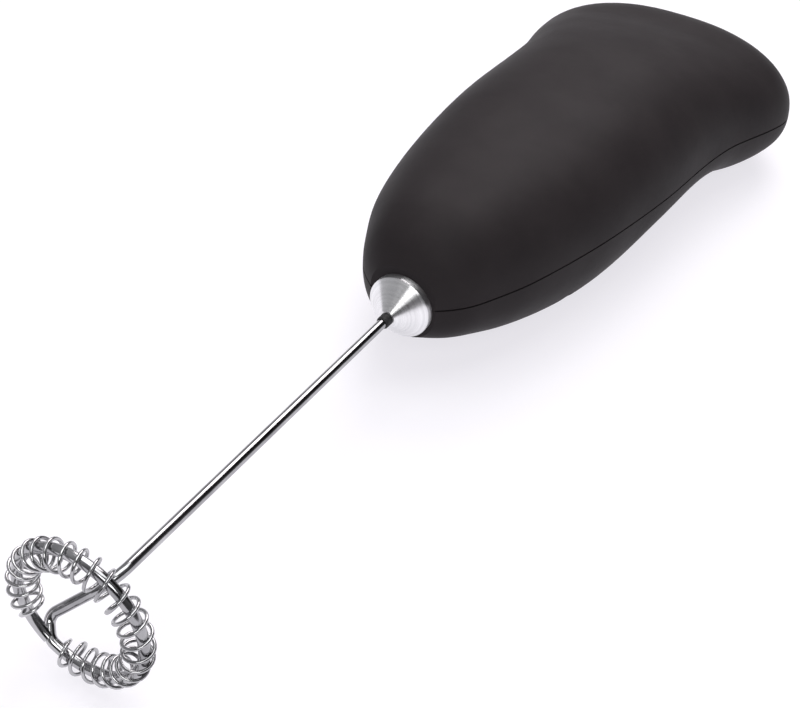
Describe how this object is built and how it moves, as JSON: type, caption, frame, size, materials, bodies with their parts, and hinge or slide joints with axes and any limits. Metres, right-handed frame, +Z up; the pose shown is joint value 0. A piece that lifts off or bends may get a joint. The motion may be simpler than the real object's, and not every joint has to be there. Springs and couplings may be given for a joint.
{
  "type": "milk frother",
  "caption": "Hand-held battery milk frother: contoured matt handle, steel nose collar, thin drive shaft and a coil-wrapped whisk ring that spins while a tail button is pressed.",
  "frame": {"origin": "centre of the object's footprint, on the surface that the handle's underside rests on", "axes": "+X along the drive shaft from the whisk to the tail of the handle, +Z up through the back of the handle, +Y to its left"},
  "size_m": [0.1981, 0.0542, 0.0306],
  "materials": {
    "soft_black": "fine matt soft-touch lacquer over ABS",
    "button_black": "satin moulded ABS",
    "spun_steel": "turned stainless steel with fine circular lines",
    "polished_wire": "polished stainless steel",
    "seal_rubber": "black silicone rubber",
    "sintered_bronze": "oil-filled sintered bronze",
    "nylon_white": "natural nylon",
    "motor_steel": "zinc-plated drawn steel",
    "ferrite": "sintered ferrite",
    "lamination": "stamped silicon steel",
    "copper": "enamelled copper",
    "foam_black": "closed-cell foam rubber",
    "tray_black": "plain moulded ABS",
    "cell_jacket": "printed shrink sleeve, plain",
    "nickel": "nickel-plated steel strip",
    "spring_steel": "nickel-plated spring wire",
    "red_insulation": "PVC insulation",
    "black_insulation": "PVC insulation",
    "zinc_screw": "zinc-plated steel"
  },
  "bodies": {
    "handle": {"upper_shell": "soft_black", "lower_shell": "soft_black", "nose_collar": "spun_steel", "front_bush": "sintered_bronze", "nose_seal": "seal_rubber", "motor_can": "motor_steel", "motor_bush": "sintered_bronze", "motor_magnets": "ferrite", "motor_end_cap": "nylon_white", "motor_brushes": "copper", "motor_sleeve": "foam_black", "battery_tray": "tray_black", "battery_cell_left": "cell_jacket", "battery_cell_right": "cell_jacket", "front_contact_left": "nickel", "front_contact_right": "nickel", "tail_contact_left": "nickel", "tail_contact_right": "nickel", "battery_springs": "spring_steel", "red_lead": "red_insulation", "black_lead": "black_insulation", "button_guide": "tray_black", "button_spring": "spring_steel", "case_screws": "zinc_screw"},
    "rotor": {"whisk_rod": "polished_wire", "whisk_coil": "polished_wire", "shaft_coupler": "nylon_white", "motor_axle": "polished_wire", "armature_core": "lamination", "armature_windings": "copper", "commutator": "copper"},
    "button": {"push_button": "button_black", "button_bridge": "nickel"},
    "door": {"battery_door": "soft_black"}
  },
  "joints": [
    {"name": "whisk_spin", "type": "hinge", "parent": "handle", "child": "rotor", "pos_m": [-0.02358, 0, 0.0146], "axis": [0.9994, 0, 0.0349], "continuous": true},
    {"name": "button_press", "type": "slide", "parent": "handle", "child": "button", "axis": [-0.9994, 0, -0.0349], "range_m": [0, 0.0015], "stiffness_N_per_m": 600, "springref_m": -0.0008, "deforming": ["button_spring"]},
    {"name": "door_lift", "type": "slide", "parent": "handle", "child": "door", "axis": [0.0349, 0, -0.9994], "range_m": [0, 0.03]}
  ]
}
